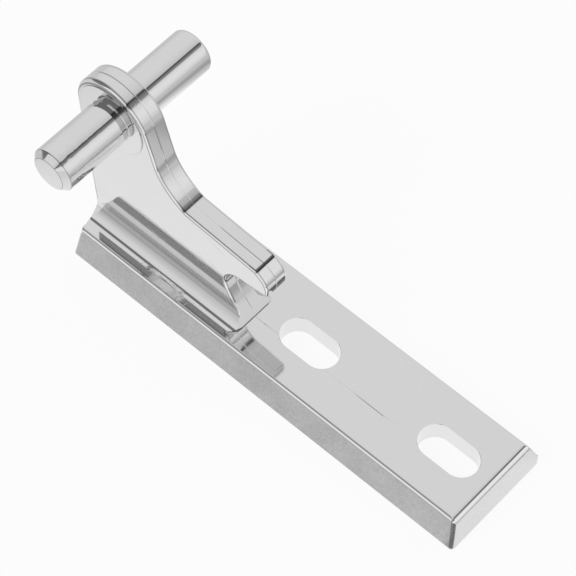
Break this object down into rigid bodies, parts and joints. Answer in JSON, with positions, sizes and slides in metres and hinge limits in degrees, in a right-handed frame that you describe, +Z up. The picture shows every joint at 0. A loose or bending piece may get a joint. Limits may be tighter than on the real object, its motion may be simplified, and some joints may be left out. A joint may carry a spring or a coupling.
{
  "type": "fridge door hinge",
  "caption": "Middle hinge for a fridge door: a bright plated cast bracket with a slotted fixing plate and an upright arm whose eye holds a fixed pin sticking out on either side.",
  "frame": {"origin": "on the underside of the plate, midway between the fixing slots", "axes": "+X along the plate towards the slotted end, +Y across the plate and along the pin towards its round end, +Z up from the plate towards the pin"},
  "size_m": [0.0853, 0.0329, 0.0427],
  "materials": {
    "bracket_plating": "bright polished plating",
    "pin_steel": "bright polished steel"
  },
  "bodies": {
    "root": {"bracket": "bracket_plating", "hinge_pin": "pin_steel"}
  },
  "joints": []
}
